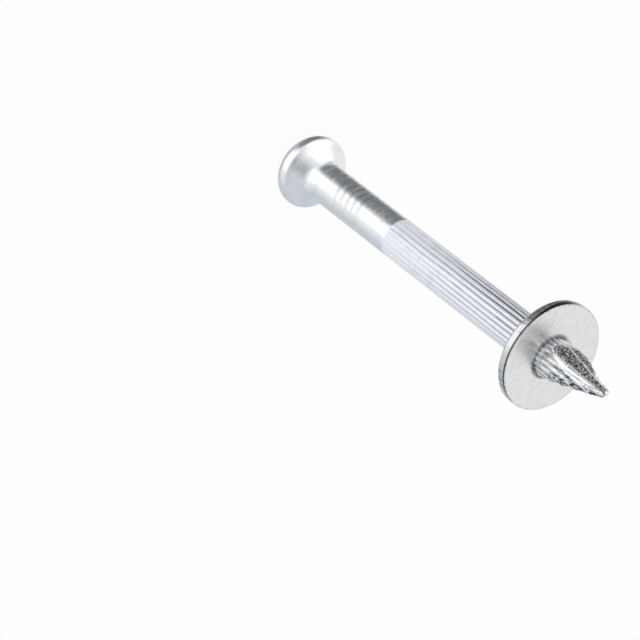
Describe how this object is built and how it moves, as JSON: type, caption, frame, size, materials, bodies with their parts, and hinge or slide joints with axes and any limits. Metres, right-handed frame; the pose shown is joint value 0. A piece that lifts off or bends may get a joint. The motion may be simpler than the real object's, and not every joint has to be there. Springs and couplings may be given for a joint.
{
  "type": "concrete drive pin",
  "caption": "Headed steel drive pin with a straight-knurled shank, a pressed point and a round guide washer pressed on the knurl, shot into concrete with a powder tool.",
  "frame": {"origin": "centre of the flat struck face of the head, on which the pin stands", "axes": "+Z along the pin's axis from the head to the point; -X is the side to which the pressed point leans"},
  "size_m": [0.012, 0.012, 0.0525],
  "materials": {
    "pin_zinc": "bright zinc plate on hardened steel, finely pitted, with draw marks along the shank",
    "washer_zinc": "bright zinc plate on blanked steel, satin on the faces and smeared bright on the rim"
  },
  "bodies": {
    "root": {"drive_pin": "pin_zinc", "guide_washer": "washer_zinc"}
  },
  "joints": []
}
